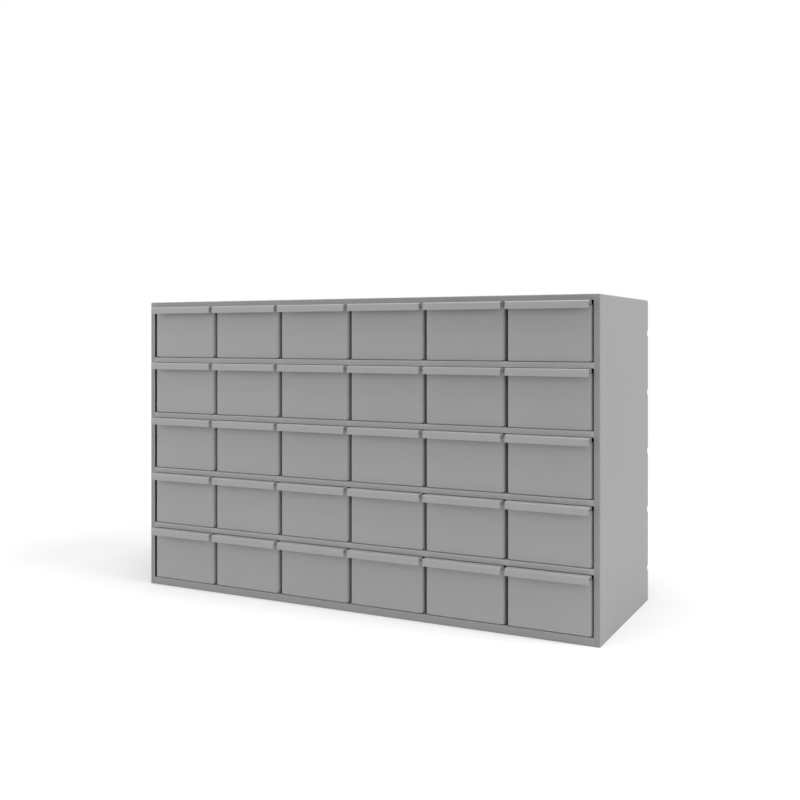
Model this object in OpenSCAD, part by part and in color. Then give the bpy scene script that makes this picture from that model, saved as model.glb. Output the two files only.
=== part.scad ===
// Steel parts bin cabinet: a welded sheet case with rows of equal drawers.
// Millimetres. +X to the right, +Y to the rear, +Z up. The origin is on the ground, under the
// middle of the whole cabinet with its pulls.

/* [Case] */
// Number of drawers across
columns = 6; // [1:1:7]
// Number of drawer rows
rows = 5; // [1:1:6]
// Width of one drawer bay, from one column line to the next
bay_w = 139.7; // [100:0.1:200]
// Height of one row, from shelf top to shelf top
bay_h = 102.5; // [70:0.5:160]
// Depth of the case without the pulls
case_d = 304.8; // [200:0.1:450]
// Thickness of the case's sheet
case_t = 0.9; // [0.6:0.1:1.5]
// Outside radius of the folds along the case's edges
case_bend = 1.6; // [1.6:0.1:2.3]
// Outside radius of the case's two top corners
corner_r = 2.4; // [2.4:0.1:6]
// Width of the front lip on each side
side_lip = 9.525; // [7:0.025:20]
// Height of the front lip over each row
top_lip = 9; // [6:0.5:12]
// Height of the base, from the ground to the lowest shelf surface
base_h = 13; // [8:0.5:40]
// Width of the lips round the rear
rear_lip = 16; // [14:0.5:30]

/* [Shelves and guides] */
// Height of the flanges along a shelf's ends and rear
shelf_flange = 6; // [4:0.5:12]
// Width of the feet turned under the base
base_foot = 12; // [8:0.5:25]
// Distance from the front to the guides between the drawers
guide_setback = 15; // [8:0.5:60]
// Radius of the guides' front corners
guide_corner = 8; // [2:0.5:20]
// Height of the tab that holds each guide in the back panel
tab_h = 9; // [5:0.5:20]
// Height of the tab's middle over the shelf
tab_z = 44; // [20:0.5:60]
// Depth of the slots in the rear edge of the sides
slot_d = 6; // [4:0.5:12]
// Clearance round a tab in its slot
slot_gap = 0.2; // [0.1:0.05:0.5]
// Gap between the back panel's edges and the case
back_gap = 3; // [2:0.5:5]

/* [Drawers] */
// Gap between neighbouring drawers
drawer_gap = 4.7; // [3:0.1:8]
// Thickness of the drawer's sheet
drawer_t = 0.8; // [0.5:0.1:1.2]
// Outside radius of the front's vertical edges
front_r = 4.8; // [2.5:0.1:6]
// Outside radius of the folds in the drawer's pan
pan_bend = 1.6; // [1.4:0.1:3]
// Running clearance under the drawer
run_gap = 0.3; // [0.2:0.1:1]
// Gap between the shelf and the front's lower edge
front_gap = 1.6; // [1.2:0.1:4]
// Gap between the lip over the drawer and the pull
pull_gap = 0.5; // [0.3:0.1:3]
// Gap between the drawer's rear and the rear flange of the shelf over it
rear_gap = 0.6; // [0.3:0.1:5]
// Drop from the pull's top to the drawer's side walls
side_drop = 7; // [5:0.5:30]
// Length of the raised shoulder that stops the drawer at the lip
shoulder_l = 55; // [20:1:120]
// Gap between the shoulder and the sheet over it
shoulder_gap = 2.6; // [1:0.1:3]
// Radius of the shoulder's corners
shoulder_r = 1.5; // [0.5:0.1:2]
// Height of the pan's welding flanges
pan_flange = 10; // [6:0.5:20]
// Height of the notch under each vertical fold of the front
notch_h = 5; // [2:0.1:8]
// Width of the relief cuts where two folds meet
relief = 0.8; // [0.4:0.1:2]

/* [Pull] */
// Distance that the pull stands out from the front
pull_out = 14.5; // [12:0.5:35]
// Height of the pull's lip
pull_drop = 12; // [8:0.5:25]
// Outside radius of the pull's folds
pull_bend = 2.4; // [1.6:0.1:4]
// Distance from the drawer's side to the end of the pull
pull_inset = 1.2; // [0.5:0.1:5]

/* [Hidden] */
bend_steps = 4;      // flats that make up one fold
corner_fn = 12;      // facets of a whole turn, for the case's rounded corners
over = 1;            // how far a cut runs past what it cuts

case_w = columns * bay_w + 2 * side_lip;
case_h = base_h + rows * bay_h;
front_y = (pull_out - case_d) / 2;
opening_w = case_w - 2 * side_lip;       // between the side lips
inside_w = case_w - 2 * case_t;          // between the side sheets
inside_d = case_d - 2 * case_t;          // from the front to the back panel
guide_rear = inside_d - case_t;          // front face of the shelves' rear flanges
bay_clear_h = bay_h - case_t;            // from a shelf to the sheet over it

drawer_w = bay_w - drawer_gap;
drawer_l = guide_rear - rear_gap;
pull_top = bay_h - top_lip - pull_gap;
wall_top = pull_top - side_drop;
shoulder_top = bay_clear_h - shoulder_gap;
notch_top = front_gap + notch_h;
notch_start = front_r / 3;               // how far round the fold the notch begins
flat_w = drawer_w - 2 * front_r;         // flat part of the front
pan_w = drawer_w - 2 * drawer_t;         // between the side walls

case_colour = "#8a8a8a";
drawer_colour = "#999999";

function row_z(r) = base_h + (rows - r) * bay_h;            // floor of row r, the top row is 1
function line_x(k) = (k - columns / 2) * bay_w;             // column line k, from 0 to columns
function bay_x(c) = (line_x(c - 1) + line_x(c)) / 2;
function drawer_name(r, c) = str("drawer_r", r, "_c", c);
function shelf_name(s) = str("shelf_", s);
function divider_name(k) = str("divider_", k);

// ---- Folded sheet ----

function unit(v) = v / norm(v);
function left_of(v) = [-v[1], v[0]];
function turned(v, a) = [v[0] * cos(a) - v[1] * sin(a), v[0] * sin(a) + v[1] * cos(a)];
function backwards(list) = [for (i = [len(list) - 1 : -1 : 0]) list[i]];

// Points round the fold at b of a line from a to c. r is the line's own radius there, and side is
// how far to its left the points lie.
function fold_points(a, b, c, r, side) =
    let (
        before = unit(b - a),
        after = unit(c - b),
        angle = acos(before * after),
        way = sign(cross(before, after)),
        centre = b - before * r * tan(angle / 2) + way * r * left_of(before)
    )
    [for (i = [0 : bend_steps])
        centre - way * (r - way * side) * turned(left_of(before), way * angle * i / bend_steps)];

// One face of a sheet that follows an open line with a fold at each inner point
function face_points(line, r, side) =
    let (last = len(line) - 1)
    concat(
        [line[0] + side * left_of(unit(line[1] - line[0]))],
        [for (i = [1 : last - 1]) each fold_points(line[i - 1], line[i], line[i + 1], r, side)],
        [line[last] + side * left_of(unit(line[last] - line[last - 1]))]
    );

// Section of a folded sheet of thickness t along its middle line. bend is each fold's outside radius.
module sheet(line, bend, t)
    polygon(concat(
        face_points(line, bend - t / 2, t / 2),
        backwards(face_points(line, bend - t / 2, -t / 2))
    ));

// Corners of a closed outline, each rounded to its own radius, or left sharp at 0
function rounded(points, radii) =
    let (n = len(points))
    [for (i = [0 : n - 1])
        each radii[i] == 0
            ? [points[i]]
            : fold_points(points[(i + n - 1) % n], points[i], points[(i + 1) % n], radii[i], 0)];

// Extrusions of a section drawn in (Y, Z), along X, and of one drawn in (X, Z), along Y
module along_x(w) translate([-w / 2, 0, 0]) rotate([90, 0, 90]) linear_extrude(w) children();
module along_y(from, to) translate([0, to, 0]) rotate([90, 0, 0]) linear_extrude(to - from) children();
module both_sides() {
    children();
    mirror([1, 0, 0]) children();
}

// ---- Case ----

// Right side, from the ground to the start of the rounded corner
module side_sheet() {
    outer = case_w / 2 - case_t / 2;
    linear_extrude(case_h - corner_r)
        sheet([
            [case_w / 2 - side_lip, case_t / 2],
            [outer, case_t / 2],
            [outer, case_d - case_t / 2],
            [case_w / 2 - rear_lip, case_d - case_t / 2]
        ], case_bend, case_t);
}

module top_sheet() {
    outer = case_h - case_t / 2;
    along_x(case_w - 2 * corner_r)
        sheet([
            [case_t / 2, case_h - top_lip],
            [case_t / 2, outer],
            [case_d - case_t / 2, outer],
            [case_d - case_t / 2, case_h - rear_lip]
        ], case_bend, case_t);
}

// Rounded corner between the top and the right side
module corner_sheet() {
    outer = corner_r - case_t / 2;
    translate([case_w / 2 - corner_r, 0, case_h - corner_r])
        rotate([-90, 0, 0]) rotate([0, 0, -90])
            rotate_extrude(angle = 90, $fn = corner_fn)
                sheet([
                    [0, case_t / 2],
                    [outer, case_t / 2],
                    [outer, case_d - case_t / 2],
                    [0, case_d - case_t / 2]
                ], case_bend, case_t);
}

// Slot across the rear edge of the right side, for the tab of the guide beside it
module side_slot() {
    slot_h = tab_h + 2 * slot_gap;
    slot_from = opening_w / 2 - slot_gap;
    translate([slot_from, case_d - slot_d, tab_z - slot_h / 2])
        cube([case_w / 2 - slot_from + over, slot_d + over, slot_h]);
}

module case_shell() color(case_colour) translate([0, front_y, 0]) {
    difference() {
        union() {
            top_sheet();
            both_sides() {
                side_sheet();
                corner_sheet();
            }
        }
        for (r = [1 : rows]) translate([0, 0, row_z(r)]) both_sides() side_slot();
    }
}

// A floor plate with its top at z = 0: a lengthwise section with the front lip, and wings that
// reach the case's sides with a flange turned down along each end
module floor_plate(lengthwise) {
    edge = inside_w / 2 - case_t / 2;
    along_x(opening_w) sheet(lengthwise, case_bend, case_t);
    along_y(case_bend, inside_d - case_bend)
        sheet([
            [-edge, -shelf_flange],
            [-edge, -case_t / 2],
            [edge, -case_t / 2],
            [edge, -shelf_flange]
        ], case_bend, case_t);
}

module base_panel() color(case_colour) translate([0, front_y, base_h])
    floor_plate([
        [base_foot, -base_h + case_t / 2],
        [case_t / 2, -base_h + case_t / 2],
        [case_t / 2, -case_t / 2],
        [inside_d - case_t / 2, -case_t / 2],
        [inside_d - case_t / 2, -base_h + case_t / 2],
        [inside_d - base_foot, -base_h + case_t / 2]
    ]);

// Shelf s is the floor of row s
module shelf(s) color(case_colour) translate([0, front_y, row_z(s)])
    floor_plate([
        [case_t / 2, -top_lip],
        [case_t / 2, -case_t / 2],
        [inside_d - case_t / 2, -case_t / 2],
        [inside_d - case_t / 2, -shelf_flange]
    ]);

// Middle of the guide on column line k. The outer two stand behind the side lips.
function guide_x(k) =
    k == 0 ? -opening_w / 2 - case_t / 2 :
    k == columns ? opening_w / 2 + case_t / 2 :
    line_x(k);

module back_panel() color(case_colour) translate([0, front_y + inside_d, 0]) {
    panel_w = inside_w - 2 * back_gap;
    slot_w = case_t + 2 * slot_gap;
    slot_h = tab_h + 2 * slot_gap;
    difference() {
        translate([-panel_w / 2, 0, case_t])
            cube([panel_w, case_t, case_h - 2 * case_t - case_bend]);
        for (r = [1 : rows], k = [0 : columns])
            translate([guide_x(k) - slot_w / 2, -over, row_z(r) + tab_z - slot_h / 2])
                cube([slot_w, case_t + 2 * over, slot_h]);
    }
}

// Guides on column line k, one upright plate per row, each with a tab through the back panel
module guides(k) color(case_colour) translate([guide_x(k), front_y, 0])
    for (r = [1 : rows]) translate([0, 0, row_z(r)])
        along_x(case_t)
            polygon(rounded([
                [guide_setback, 0],
                [guide_rear, 0],
                [guide_rear, tab_z - tab_h / 2],
                [case_d, tab_z - tab_h / 2],
                [case_d, tab_z + tab_h / 2],
                [guide_rear, tab_z + tab_h / 2],
                [guide_rear, bay_clear_h],
                [guide_setback, bay_clear_h]
            ], [guide_corner, 0, 0, 0, 0, 0, 0, guide_corner]));

// ---- Drawer, with its front's face at y = 0 and the shelf at z = 0 ----

// Front and pull: full width at the pull, narrower below it, where the vertical folds take over
module front_and_pull() {
    wide = drawer_w - 2 * pull_inset;
    difference() {
        along_x(wide)
            sheet([
                [drawer_t / 2, front_gap],
                [drawer_t / 2, pull_top - drawer_t / 2],
                [drawer_t / 2 - pull_out, pull_top - drawer_t / 2],
                [drawer_t / 2 - pull_out, pull_top - pull_drop]
            ], pull_bend, drawer_t);
        both_sides()
            translate([flat_w / 2, -over, -over])
                cube([front_r + over, drawer_t + 2 * over, wall_top + relief + over]);
    }
}

// Side walls and the folds that join them to the front, cut to the side view's outline
module walls() {
    wall_x = drawer_w / 2 - drawer_t / 2;
    wall_front = front_r + relief;
    intersection() {
        linear_extrude(shoulder_top)
            sheet([
                [-wall_x, drawer_l],
                [-wall_x, drawer_t / 2],
                [wall_x, drawer_t / 2],
                [wall_x, drawer_l]
            ], front_r, drawer_t);
        along_x(drawer_w + 2 * over)
            polygon(rounded([
                [-over, front_gap],
                [notch_start, front_gap],
                [front_r, notch_top],
                [wall_front, notch_top],
                [wall_front, run_gap],
                [drawer_l, run_gap],
                [drawer_l, shoulder_top],
                [drawer_l - shoulder_l, shoulder_top],
                [drawer_l - shoulder_l, wall_top],
                [-over, wall_top]
            ], [0, 0, 0, 0, 0, 0, shoulder_r, shoulder_r, shoulder_r, 0]));
    }
}

// Bottom and back, with flanges welded inside the wrap
module pan() {
    middle_z = run_gap + drawer_t / 2;
    flange_top = run_gap + pan_flange;
    flange_x = pan_w / 2 - drawer_t / 2;
    back_y = drawer_l - drawer_t / 2;
    along_x(flat_w)
        sheet([
            [1.5 * drawer_t, flange_top],
            [1.5 * drawer_t, middle_z],
            [back_y, middle_z],
            [back_y, wall_top]
        ], pan_bend, drawer_t);
    along_y(front_r + relief, drawer_l - pan_bend - relief)
        sheet([
            [-flange_x, flange_top],
            [-flange_x, middle_z],
            [flange_x, middle_z],
            [flange_x, flange_top]
        ], pan_bend, drawer_t);
    translate([0, 0, flange_top + relief])
        linear_extrude(wall_top - flange_top - relief)
            sheet([
                [-flange_x, drawer_l - pan_flange],
                [-flange_x, back_y],
                [flange_x, back_y],
                [flange_x, drawer_l - pan_flange]
            ], pan_bend, drawer_t);
}

module drawer(r, c) color(drawer_colour) translate([bay_x(c), front_y, row_z(r)]) {
    front_and_pull();
    walls();
    pan();
}

// ---- Assembly ----

case_shell();
base_panel();
back_panel();
for (s = [1 : 1 : rows - 1])
    shelf(s);
guides(0);  // left_guide
guides(columns);  // right_guide
for (k = [1 : 1 : columns - 1])
    guides(k);
for (r = [1 : rows], c = [1 : columns])
    drawer(r, c);
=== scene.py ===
import math

import bmesh
import bpy
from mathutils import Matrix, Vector


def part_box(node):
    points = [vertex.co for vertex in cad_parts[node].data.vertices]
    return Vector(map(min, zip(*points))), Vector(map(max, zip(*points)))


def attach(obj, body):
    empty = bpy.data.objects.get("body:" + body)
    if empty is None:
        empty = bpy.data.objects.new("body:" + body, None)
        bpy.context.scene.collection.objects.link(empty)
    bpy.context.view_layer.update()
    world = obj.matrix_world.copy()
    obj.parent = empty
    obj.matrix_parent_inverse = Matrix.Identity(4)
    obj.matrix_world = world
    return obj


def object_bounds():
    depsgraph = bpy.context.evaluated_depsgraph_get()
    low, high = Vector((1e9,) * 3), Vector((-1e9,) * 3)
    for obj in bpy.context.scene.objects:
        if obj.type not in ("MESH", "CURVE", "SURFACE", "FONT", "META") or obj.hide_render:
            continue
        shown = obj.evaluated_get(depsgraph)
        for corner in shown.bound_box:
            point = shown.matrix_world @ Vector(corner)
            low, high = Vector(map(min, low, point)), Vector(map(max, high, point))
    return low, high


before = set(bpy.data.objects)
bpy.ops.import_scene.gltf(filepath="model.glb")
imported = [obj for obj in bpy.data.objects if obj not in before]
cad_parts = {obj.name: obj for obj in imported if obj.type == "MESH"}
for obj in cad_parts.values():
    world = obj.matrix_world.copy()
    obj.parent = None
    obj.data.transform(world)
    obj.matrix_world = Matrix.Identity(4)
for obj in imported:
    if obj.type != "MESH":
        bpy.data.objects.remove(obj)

# Parts bin cabinet: the finish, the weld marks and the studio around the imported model.
# Metres, +X to the right, +Y to the rear, +Z up.

cadLow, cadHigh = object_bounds()
mm = 0.001


def namesOf(start):
    return sorted(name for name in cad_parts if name.startswith(start))


drawerNames = namesOf("drawer_")
shelfNames = namesOf("shelf_")
print("frame loaded:", len(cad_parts), "nodes")


# Camera: level, to the right of the cabinet, its picture shifted to take the cabinet in
camera = {
    "place": (0.8368, -1.596, 0.4605),
    "tilt": 90,             # degrees up from straight down; 90 is level
    "turn": 27.067,         # degrees to the left of straight ahead
    "lens": 44.851,
    "shiftUp": -0.0784,
    "reach": (0.05, 50),    # nearest and farthest that it sees
}


def buildCamera():
    data = bpy.data.cameras.new("studioCamera")
    data.lens = camera["lens"]
    data.shift_y = camera["shiftUp"]
    data.clip_start, data.clip_end = camera["reach"]
    obj = bpy.data.objects.new("studioCamera", data)
    obj.location = camera["place"]
    obj.rotation_euler = (math.radians(camera["tilt"]), 0, math.radians(camera["turn"]))
    bpy.context.scene.collection.objects.link(obj)
    bpy.context.scene.camera = obj


buildCamera()
print("camera placed")


# Short ways to write a node tree
class Tree:
    def __init__(self, nodeTree):
        self.tree = nodeTree

    def add(self, kind, values=None, **settings):
        node = self.tree.nodes.new(kind)
        for name, value in settings.items():
            setattr(node, name, value)
        for name, value in (values or {}).items():
            if isinstance(value, bpy.types.NodeSocket):
                self.tree.links.new(value, node.inputs[name])
            else:
                node.inputs[name].default_value = value
        return node

    def math(self, operation, first, second):
        return self.add("ShaderNodeMath", {0: first, 1: second}, operation=operation).outputs[0]

    def vector(self, operation, values):
        return self.add("ShaderNodeVectorMath", values, operation=operation).outputs

    def spread(self, value, low, high, toLow=0.0, toHigh=1.0):
        values = {"Value": value, "From Min": low, "From Max": high, "To Min": toLow, "To Max": toHigh}
        return self.add("ShaderNodeMapRange", values).outputs["Result"]

    def mix(self, factor, first, second):
        values = {0: factor, 6: first, 7: second}
        return self.add("ShaderNodeMix", values, data_type="RGBA").outputs[2]

    def place(self):
        return self.add("ShaderNodeTexCoord").outputs["Object"]

    def noise(self, place, scale, detail):
        values = {"Vector": place, "Scale": scale, "Detail": detail}
        return self.add("ShaderNodeTexNoise", values).outputs["Fac"]

    def grain(self, place, size, detail):
        return self.noise(place, self.math("DIVIDE", 1.0, size), detail)

    def use(self, group, values):
        return self.add("ShaderNodeGroup", values, node_tree=group).outputs[0]


def newGroup(name, inputs, output, outputKind):
    group = bpy.data.node_groups.new(name, "ShaderNodeTree")
    for socketName, socketKind in inputs.items():
        group.interface.new_socket(socketName, in_out="INPUT", socket_type=socketKind)
    group.interface.new_socket(output, in_out="OUTPUT", socket_type=outputKind)
    tree = Tree(group)
    return tree, tree.add("NodeGroupInput").outputs


# Colour of a sprayed coat: slow clouds over a panel, fine specks, and a little from piece to piece
def buildCoatShade():
    tree, given = newGroup("coatShade", {
        "Colour": "NodeSocketColor",
        "Cloud Size": "NodeSocketFloat",
        "Cloud Depth": "NodeSocketFloat",
        "Speck Size": "NodeSocketFloat",
        "Speck Depth": "NodeSocketFloat",
        "Piece Depth": "NodeSocketFloat",
    }, "Colour", "NodeSocketColor")
    place = tree.place()
    cloud = tree.grain(place, given["Cloud Size"], detail=3.0)
    speck = tree.grain(place, given["Speck Size"], detail=1.0)
    piece = tree.add("ShaderNodeObjectInfo").outputs["Random"]
    bright = 1.0
    for value, depth in ((cloud, "Cloud Depth"), (speck, "Speck Depth"), (piece, "Piece Depth")):
        swing = tree.math("MULTIPLY", tree.math("SUBTRACT", value, 0.5), given[depth])
        bright = tree.math("ADD", swing, bright)
    shade = tree.vector("SCALE", {0: given["Colour"], "Scale": bright})["Vector"]
    tree.add("NodeGroupOutput", {"Colour": shade})
    return tree.tree


# Skin of the coat as a height in metres: fine pebbles on the slow waves of thin sheet
def buildCoatSkin():
    tree, given = newGroup("coatSkin", {
        "Pebble Size": "NodeSocketFloat",
        "Pebble Height": "NodeSocketFloat",
        "Wave Size": "NodeSocketFloat",
        "Wave Height": "NodeSocketFloat",
    }, "Height", "NodeSocketFloat")
    place = tree.place()
    height = 0.0
    for kind, detail in (("Pebble", 2.0), ("Wave", 0.0)):
        bumps = tree.grain(place, given[kind + " Size"], detail)
        height = tree.math("ADD", tree.math("MULTIPLY", bumps, given[kind + " Height"]), height)
    tree.add("NodeGroupOutput", {"Height": height})
    return tree.tree


# Where the coat is thinner over cut edges and tight bends, broken up along its length; the lighter grey
# put there is partly a painted highlight on the edges
edgeLook = {
    "samples": 6,
    "turned": (0.98, 0.75),     # cosines of the turn over an edge, from none of the mask to all of it
    "gapScale": 120.0,
    "gapRange": (0.3, 0.6),
}


def buildEdgeThinAndHighlight():
    tree, given = newGroup("edgeThinAndHighlight", {
        "Radius": "NodeSocketFloat",
        "Break Up": "NodeSocketFloat",
        "Amount": "NodeSocketFloat",
    }, "Mask", "NodeSocketFloat")
    bevel = tree.add("ShaderNodeBevel", {"Radius": given["Radius"]}, samples=edgeLook["samples"])
    flat = tree.add("ShaderNodeNewGeometry").outputs["True Normal"]
    same = tree.vector("DOT_PRODUCT", {0: bevel.outputs["Normal"], 1: flat})["Value"]
    edge = tree.spread(same, *edgeLook["turned"])
    noise = tree.noise(tree.place(), edgeLook["gapScale"], detail=3.0)
    gaps = tree.spread(noise, *edgeLook["gapRange"])
    kept = tree.math("SUBTRACT", 1.0, tree.math("MULTIPLY", given["Break Up"], gaps))
    mask = tree.math("MULTIPLY", tree.math("MULTIPLY", edge, kept), given["Amount"])
    tree.add("NodeGroupOutput", {"Mask": mask})
    return tree.tree


# Streaks along the slide where steel rubs on the coat, on faces that look one way
rubLook = {
    "drawnOut": (1.0, 0.03, 1.0),   # the streaks are long in Y, the way a drawer slides
    "facing": (0.9, 0.98),          # cosines of the face's tilt, from none of the mask to all of it
    "streakRange": (0.56, 0.68),
}


def buildSlideRub():
    tree, given = newGroup("slideRub", {
        "Streak Width": "NodeSocketFloat",
        "Facing": "NodeSocketVector",
        "Amount": "NodeSocketFloat",
    }, "Mask", "NodeSocketFloat")
    drawn = tree.vector("MULTIPLY", {0: tree.place(), 1: rubLook["drawnOut"]})["Vector"]
    streak = tree.grain(drawn, given["Streak Width"], detail=3.0)
    normal = tree.add("ShaderNodeNewGeometry").outputs["Normal"]
    aimed = tree.vector("DOT_PRODUCT", {0: normal, 1: given["Facing"]})["Value"]
    faces = tree.spread(aimed, *rubLook["facing"])
    mask = tree.math("MULTIPLY", tree.spread(streak, *rubLook["streakRange"]), faces)
    tree.add("NodeGroupOutput", {"Mask": tree.math("MULTIPLY", mask, given["Amount"])})
    return tree.tree


coatShade = buildCoatShade()
coatSkin = buildCoatSkin()
edgeThinAndHighlight = buildEdgeThinAndHighlight()
slideRub = buildSlideRub()
print("coat effects built")

# Paints: the case's, and what differs from it in the others
casePaint = {
    "colour": 0.276,
    "cloudSize": 90 * mm,
    "cloudDepth": 0.05,
    "speckSize": 1.2 * mm,
    "speckDepth": 0.04,
    "pieceDepth": 0.0,
    "pebbleSize": 1.8 * mm,
    "pebbleHeight": 0.02 * mm,
    "waveSize": 70 * mm,
    "waveHeight": 0.1 * mm,
    # Lighter grey on edges: a thinner coat, and partly a painted highlight
    "thinAndHighlightColour": 0.39,
    "edgeMaskRadius": 1 * mm,
    "edgeMaskBreakUp": 0.4,
    "edgeMaskAmount": 0.6,
    "rubColour": 0.37,
    "rubRoughness": 0.34,
    "rubWidth": 4 * mm,
    "rubFacing": (0, 0, 1),
    "rubAmount": 0.0,
    "roughness": 0.46,
    "specular": 0.43,
}
# Base and shelves: the case's paint made lighter as painted light on their front lips, with streaks of
# rub wear
basePaintLitCopy = dict(casePaint, colour=0.304, rubAmount=0.7)
shelfPaintLitCopy = dict(casePaint, colour=0.385, thinAndHighlightColour=0.44, rubColour=0.43, rubAmount=0.7)
drawerPaint = dict(
    casePaint, colour=0.36, pieceDepth=0.02, thinAndHighlightColour=0.45,
    rubColour=0.42, rubFacing=(0, 0, -1), rubAmount=0.7,
)


def grey(level):
    return (level, level, level, 1)


def emptyTree(owner):
    owner.use_nodes = True
    owner.node_tree.nodes.clear()
    return Tree(owner.node_tree)


def buildPaint(name, look):
    material = bpy.data.materials.new(name)
    tree = emptyTree(material)
    coat = tree.use(coatShade, {
        "Colour": grey(look["colour"]),
        "Cloud Size": look["cloudSize"],
        "Cloud Depth": look["cloudDepth"],
        "Speck Size": look["speckSize"],
        "Speck Depth": look["speckDepth"],
        "Piece Depth": look["pieceDepth"],
    })
    edgeMask = tree.use(edgeThinAndHighlight, {
        "Radius": look["edgeMaskRadius"],
        "Break Up": look["edgeMaskBreakUp"],
        "Amount": look["edgeMaskAmount"],
    })
    # Edges take a lighter grey: a thinner coat, and partly a painted highlight
    colour = tree.mix(edgeMask, coat, grey(look["thinAndHighlightColour"]))
    roughness = look["roughness"]
    if look["rubAmount"] > 0:
        rub = tree.use(slideRub, {
            "Streak Width": look["rubWidth"],
            "Facing": look["rubFacing"],
            "Amount": look["rubAmount"],
        })
        colour = tree.mix(rub, colour, grey(look["rubColour"]))
        roughness = tree.spread(rub, 0.0, 1.0, look["roughness"], look["rubRoughness"])
    skin = tree.use(coatSkin, {
        "Pebble Size": look["pebbleSize"],
        "Pebble Height": look["pebbleHeight"],
        "Wave Size": look["waveSize"],
        "Wave Height": look["waveHeight"],
    })
    shader = tree.add("ShaderNodeBsdfPrincipled", {
        "Base Color": colour,
        "Roughness": roughness,
        "Normal": tree.add("ShaderNodeBump", {"Height": skin, "Distance": 1.0}).outputs["Normal"],
        "Specular IOR Level": look["specular"],
    })
    tree.add("ShaderNodeOutputMaterial", {"Surface": shader.outputs[0]})
    return material


paints = {
    "case": buildPaint("casePaint", casePaint),
    "base": buildPaint("basePaintLitCopy", basePaintLitCopy),
    "shelf": buildPaint("shelfPaintLitCopy", shelfPaintLitCopy),
    "drawer": buildPaint("drawerPaint", drawerPaint),
}


def paintNodes():
    for name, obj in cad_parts.items():
        kind = "case"
        if name == "base_panel":
            kind = "base"
        elif name in shelfNames:
            kind = "shelf"
        elif name in drawerNames:
            kind = "drawer"
        for slot in obj.material_slots:
            slot.material = paints[kind]


paintNodes()
print("paint on", len(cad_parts), "nodes")


# Sheet edges: joined corners of the mesh, a small round on every cut edge, and even shading on bends
sheetEdges = {
    "joinWithin": 0.002 * mm,
    "round": 0.15 * mm,
    "steps": 2,
    "sharpFrom": 40,        # degrees
    "largeFaces": 80,       # how much large faces lead the shading; 50 is neutral
}


def roundEdges(obj):
    join = obj.modifiers.new("join", "WELD")
    join.merge_threshold = sheetEdges["joinWithin"]
    bevel = obj.modifiers.new("cutEdges", "BEVEL")
    bevel.width = sheetEdges["round"]
    bevel.segments = sheetEdges["steps"]
    bevel.limit_method = "ANGLE"
    bevel.angle_limit = math.radians(sheetEdges["sharpFrom"])
    bevel.harden_normals = False
    smooth = obj.modifiers.new("shading", "WEIGHTED_NORMAL")
    smooth.keep_sharp = False
    smooth.weight = sheetEdges["largeFaces"]


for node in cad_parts.values():
    roundEdges(node)
print("edges rounded")


# Spot-weld marks: low closed rings on the sheet, each half sunk in it
weldMark = {
    "radius": 2.6 * mm,
    "rim": 1.3 * mm,
    "height": 0.12 * mm,
    "sunk": 0.1 * mm,
    "around": 24,
    "across": 6,
}


def addWeldMark(bm, centre, facing):
    up = Vector((0, 0, 1))
    along = up.cross(facing)
    rings = []
    for i in range(weldMark["around"]):
        turn = 2 * math.pi * i / weldMark["around"]
        outwards = math.cos(turn) * along + math.sin(turn) * up
        ring = []
        for j in range(weldMark["across"]):
            roll = 2 * math.pi * j / weldMark["across"]
            rise = math.sin(roll) * weldMark["height" if math.sin(roll) > 0 else "sunk"]
            reach = weldMark["radius"] + math.cos(roll) * weldMark["rim"] / 2
            ring.append(bm.verts.new(centre + outwards * reach + facing * rise))
        rings.append(ring)
    for i, ring in enumerate(rings):
        following = rings[(i + 1) % len(rings)]
        for j, corner in enumerate(ring):
            k = (j + 1) % len(ring)
            bm.faces.new((corner, following[j], following[k], ring[k]))


def buildWeldMarks(name, marks, body, paint):
    bm = bmesh.new()
    for centre, facing in marks:
        addWeldMark(bm, Vector(centre), Vector(facing))
    bmesh.ops.recalc_face_normals(bm, faces=bm.faces)
    for face in bm.faces:
        face.smooth = True
    mesh = bpy.data.meshes.new(name)
    bm.to_mesh(mesh)
    bm.free()
    mesh.materials.append(paint)
    piece = bpy.data.objects.new(name, mesh)
    bpy.context.scene.collection.objects.link(piece)
    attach(piece, body)


# Drawer: marks along the pan's side flanges, and up the flanges of its back
drawerWelds = {
    "flangeUp": 5.5 * mm,
    "firstIn": 30 * mm,         # from the drawer's rear
    "pitch": 60 * mm,
    "count": 5,
    "backIn": 5 * mm,
    "backUps": (26 * mm, 49 * mm, 72 * mm),
}


def drawerMarks(low, high):
    look = drawerWelds
    rear = high.y - look["firstIn"]
    places = [(rear - i * look["pitch"], low.z + look["flangeUp"]) for i in range(look["count"])]
    places += [(high.y - look["backIn"], low.z + up) for up in look["backUps"]]
    return [((x, y, z), (way, 0, 0)) for x, way in ((low.x, -1), (high.x, 1)) for y, z in places]


for drawer in drawerNames:
    marks = drawerMarks(*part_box(drawer))
    buildWeldMarks("welds_" + drawer, marks, drawer, paints["drawer"])

# Back panel: one row of marks along the rear flange of each shelf and of the base
backWelds = {
    "pitch": 69.85 * mm,
    "sideIn": 75 * mm,
    "flangeDown": 4 * mm,
}


def backMarks():
    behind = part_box("back_panel")[1].y
    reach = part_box("case_shell")[1].x - backWelds["sideIn"]
    count = 1 + round(2 * reach / backWelds["pitch"])
    marks = []
    for sheet in shelfNames + ["base_panel"]:
        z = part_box(sheet)[1].z - backWelds["flangeDown"]
        marks += [((reach * (2 * i / (count - 1) - 1), behind, z), (0, 1, 0)) for i in range(count)]
    return marks


buildWeldMarks("welds_back", backMarks(), "case", paints["case"])
print("weld marks made")


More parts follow.
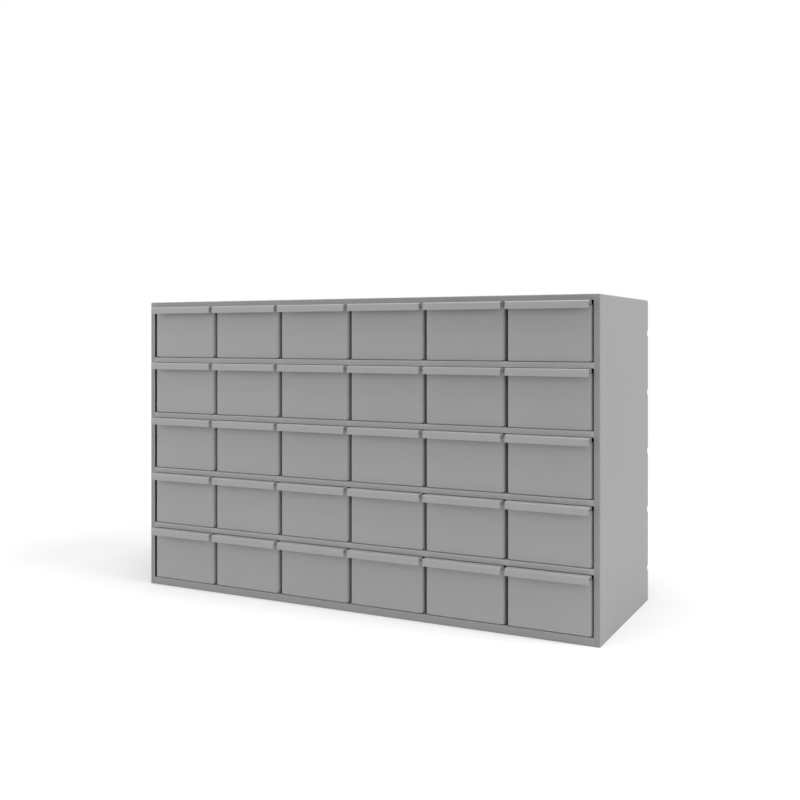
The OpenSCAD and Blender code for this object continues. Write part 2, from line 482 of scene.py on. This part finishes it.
# Studio: a pale floor that fades out into a white surround, and soft lights
studio = {
    "floorSize": 8.0,
    "floorSteps": 8,
    "floorDrop": 0.2 * mm,      # below the base
    "floorColour": 0.8,
    "floorLift": (0.2, 0.4),    # white that the floor shows by itself, near the cabinet and far out
    "liftRise": (0.8, 1.4),     # metres from the middle between which that white grows
    "floorFade": (0.9, 1.9),    # metres between which the floor fades out
    "backdrop": 1.0,            # what the camera sees behind; 1 is white
    "ambient": 0.4,             # what lights the cabinet from all round
    "aim": (0, 0, 0.26),
    "boxSize": 1.6,
    "boxAway": 2.8,             # from the point that the boxes are aimed at
    "boxes": {                  # degrees round from the front to the right, degrees up, watts
        "leftBox": (-50, 18, 18),
        "frontRightBox": (40, 18, 6),
        "rightBox": (90, 18, 23),
        "highRightBox": (90, 50, 20),
        "topBox": (0, 80, 43),
    },
}
white = grey(1.0)


def cameraSees(tree):
    path = tree.add("ShaderNodeLightPath").outputs
    seen = tree.math("MAXIMUM", path["Is Camera Ray"], path["Is Glossy Ray"])
    return tree.math("MAXIMUM", seen, path["Is Transmission Ray"])


def buildFloorPaint():
    material = bpy.data.materials.new("studioFloor")
    tree = emptyTree(material)
    matt = tree.add("ShaderNodeBsdfDiffuse", {"Color": grey(studio["floorColour"])})
    away = tree.vector("LENGTH", {0: tree.place()})["Value"]
    lift = tree.spread(away, *studio["liftRise"], *studio["floorLift"])
    shown = tree.math("MULTIPLY", cameraSees(tree), lift)
    glow = tree.add("ShaderNodeEmission", {"Color": white, "Strength": shown})
    both = tree.add("ShaderNodeAddShader", {0: matt.outputs[0], 1: glow.outputs[0]})
    fade = tree.spread(away, *studio["floorFade"])
    clear = tree.add("ShaderNodeBsdfTransparent")
    faded = tree.add("ShaderNodeMixShader", {0: fade, 1: both.outputs[0], 2: clear.outputs[0]})
    tree.add("ShaderNodeOutputMaterial", {"Surface": faded.outputs[0]})
    return material


def buildFloor():
    mesh = bpy.data.meshes.new("studioFloor")
    bm = bmesh.new()
    steps = studio["floorSteps"]
    bmesh.ops.create_grid(bm, x_segments=steps, y_segments=steps, size=studio["floorSize"] / 2)
    bm.to_mesh(mesh)
    bm.free()
    mesh.materials.append(buildFloorPaint())
    floor = bpy.data.objects.new("studioFloor", mesh)
    floor.location.z = cadLow.z - studio["floorDrop"]
    bpy.context.scene.collection.objects.link(floor)


def buildWorld():
    world = bpy.data.worlds.new("studioWorld")
    bpy.context.scene.world = world
    tree = emptyTree(world)
    strength = tree.spread(cameraSees(tree), 0.0, 1.0, studio["ambient"], studio["backdrop"])
    sky = tree.add("ShaderNodeBackground", {"Color": white, "Strength": strength})
    tree.add("ShaderNodeOutputWorld", {"Surface": sky.outputs[0]})


def buildLights():
    for name, (turn, up, power) in studio["boxes"].items():
        data = bpy.data.lights.new(name, "AREA")
        data.size = studio["boxSize"]
        data.energy = power
        turn, up = math.radians(turn), math.radians(up)
        outwards = Vector((math.cos(up) * math.sin(turn), -math.cos(up) * math.cos(turn), math.sin(up)))
        obj = bpy.data.objects.new(name, data)
        obj.location = Vector(studio["aim"]) + studio["boxAway"] * outwards
        obj.rotation_euler = outwards.to_track_quat("Z", "Y").to_euler()
        bpy.context.scene.collection.objects.link(obj)


buildFloor()
buildWorld()
buildLights()
bpy.context.scene.view_settings.view_transform = "Standard"
print("studio lit")
